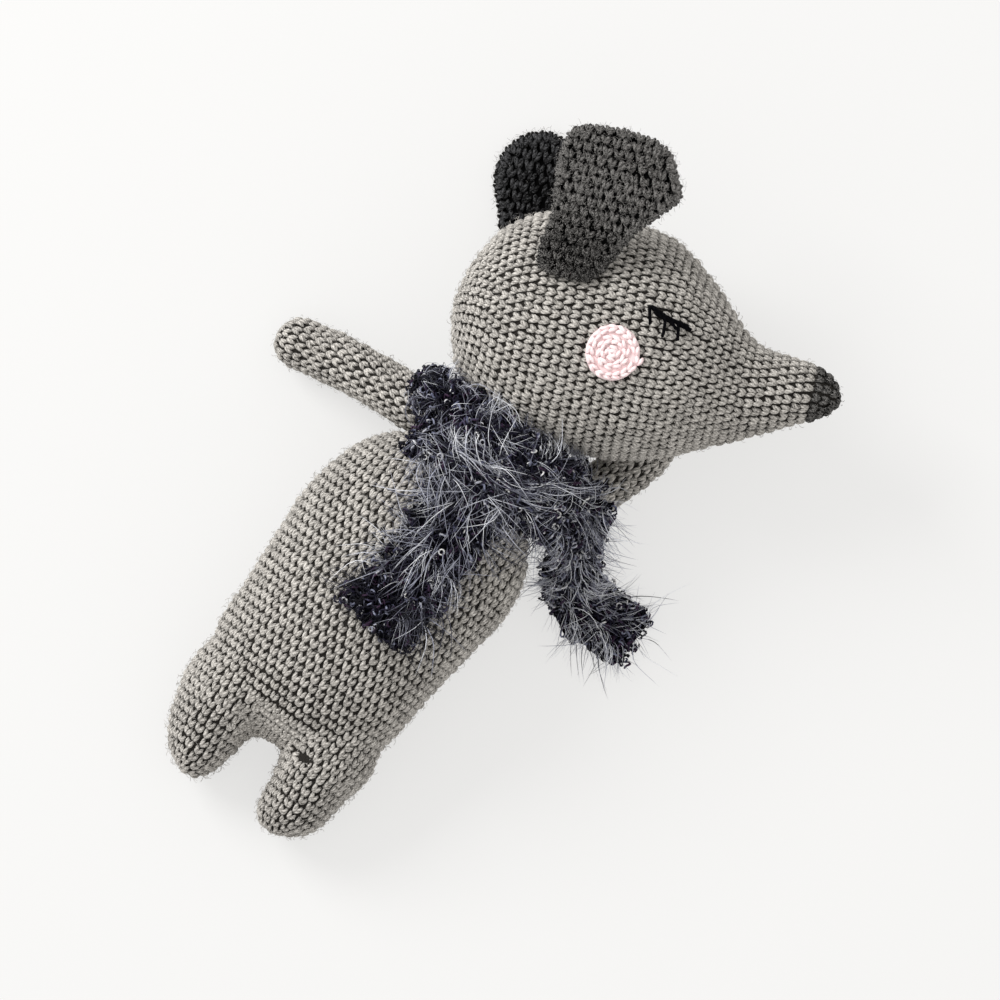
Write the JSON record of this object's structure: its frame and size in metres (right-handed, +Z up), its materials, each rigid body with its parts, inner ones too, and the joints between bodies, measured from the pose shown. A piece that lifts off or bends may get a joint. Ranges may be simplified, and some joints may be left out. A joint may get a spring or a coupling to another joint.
{
  "type": "crocheted stuffed animal toy",
  "caption": "Crocheted stuffed toy animal with a long snout, floppy ears, stub legs, sewn arms and a furry scarf, lying on its back with its head in profile.",
  "frame": {"origin": "middle of the flat patch under the back, on the surface the toy lies on", "axes": "+Y from the feet to the head, +Z up through the belly, +X to the animal's left"},
  "size_m": [0.2258, 0.3565, 0.1092],
  "materials": {
    "grey_yarn": "matte",
    "charcoal_yarn": "matte",
    "black_yarn": "matte",
    "pink_yarn": "matte",
    "black_thread": "satin",
    "scarf_yarn": "satin",
    "sewing_yarn": "matte",
    "polyester_filling": "matte"
  },
  "bodies": {
    "root": {"body_cover": "grey_yarn", "leg_right_cover": "grey_yarn", "leg_left_cover": "grey_yarn", "body_filling": "polyester_filling", "neck_seam": "sewing_yarn", "scarf_neck_wrap": "scarf_yarn", "scarf_crossover": "scarf_yarn"},
    "head": {"head_cover": "grey_yarn", "snout_cover": "grey_yarn", "muzzle_cover": "grey_yarn", "nose_tip": "charcoal_yarn", "head_filling": "polyester_filling", "cheek_right": "pink_yarn", "cheek_left": "pink_yarn", "eye_right": "black_thread", "eye_left": "black_thread"},
    "arm_right": {"arm_right_cover": "grey_yarn", "arm_right_filling": "polyester_filling"},
    "arm_left": {"arm_left_cover": "grey_yarn", "arm_left_filling": "polyester_filling"},
    "ear_right": {"ear_right_back": "charcoal_yarn", "ear_right_lining": "black_yarn"},
    "ear_left": {"ear_left_back": "charcoal_yarn", "ear_left_lining": "black_yarn"},
    "scarf_front": {"scarf_front_tail": "scarf_yarn"},
    "scarf_side": {"scarf_side_tail": "scarf_yarn"}
  },
  "joints": [
    {"name": "head_turn", "type": "hinge", "parent": "root", "child": "head", "pos_m": [0.003, 0.113, 0.055], "axis": [0, 1, 0], "range_deg": [-90, 0]},
    {"name": "arm_right_raise", "type": "hinge", "parent": "root", "child": "arm_right", "pos_m": [-0.0315, 0.097, 0.043], "axis": [0, 1, 0], "range_deg": [0, 40]},
    {"name": "arm_left_swing", "type": "hinge", "parent": "root", "child": "arm_left", "pos_m": [0.036, 0.093, 0.04], "axis": [0, 0, 1], "range_deg": [-35, 0]},
    {"name": "ear_right_fold", "type": "hinge", "parent": "head", "child": "ear_right", "pos_m": [-0.00573, 0.18488, 0.105], "axis": [0.9252, 0.3795, 0], "range_deg": [-15, 60]},
    {"name": "ear_left_fold", "type": "hinge", "parent": "head", "child": "ear_left", "pos_m": [-0.03038, 0.17909, 0.0072], "axis": [0.9252, 0.3795, 0], "range_deg": [0, 20]},
    {"name": "scarf_front_lift", "type": "hinge", "parent": "root", "child": "scarf_front", "pos_m": [0.007, 0.0775, 0.0861], "axis": [1, 0, 0], "range_deg": [-60, 0]},
    {"name": "scarf_side_lift", "type": "hinge", "parent": "root", "child": "scarf_side", "pos_m": [0.059, 0.0915, 0.051], "axis": [0.8131, 0.5822, 0], "range_deg": [-50, 0]}
  ]
}
